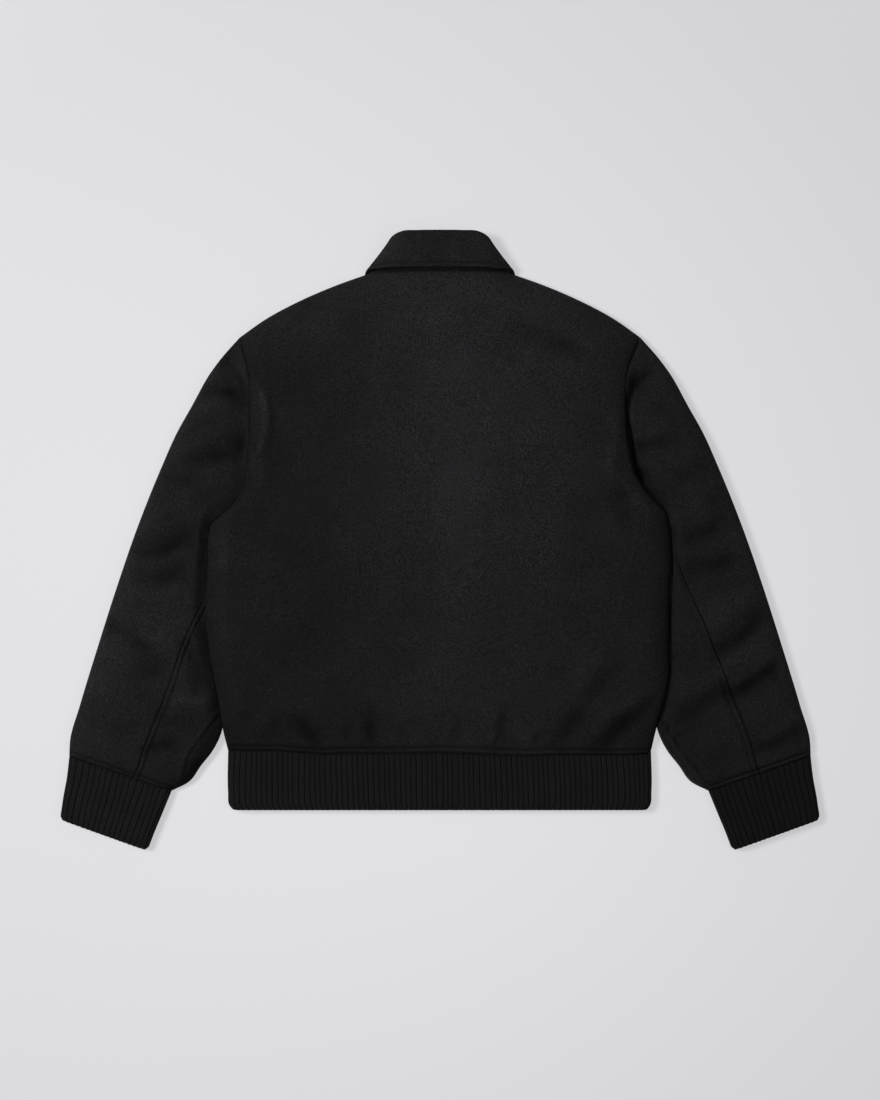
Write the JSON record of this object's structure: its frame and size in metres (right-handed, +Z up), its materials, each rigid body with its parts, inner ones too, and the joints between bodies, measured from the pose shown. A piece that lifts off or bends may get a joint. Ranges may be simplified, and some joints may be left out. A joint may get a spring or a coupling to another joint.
{
  "type": "bomber jacket",
  "caption": "Collared bomber jacket in dark wool lying flat, back up: one-piece back, set-in two-piece sleeves, folded collar, rib-knit hem and cuffs.",
  "frame": {"origin": "bottom centre of the bounding box, on the surface the jacket lies on", "axes": "+X across the jacket to the wearer's right, +Y from hem to collar, +Z up from the surface, out of the jacket's back"},
  "size_m": [0.9098, 0.7407, 0.0281],
  "materials": {
    "wool": "matte",
    "rib_knit": "matte"
  },
  "bodies": {
    "root": {"back": "wool", "front_left": "wool", "front_right": "wool", "top_sleeve_left": "wool", "top_sleeve_right": "wool", "under_sleeve_left": "wool", "under_sleeve_right": "wool", "collar": "wool", "hem_rib": "rib_knit", "cuff_left": "rib_knit", "cuff_right": "rib_knit"}
  },
  "joints": []
}
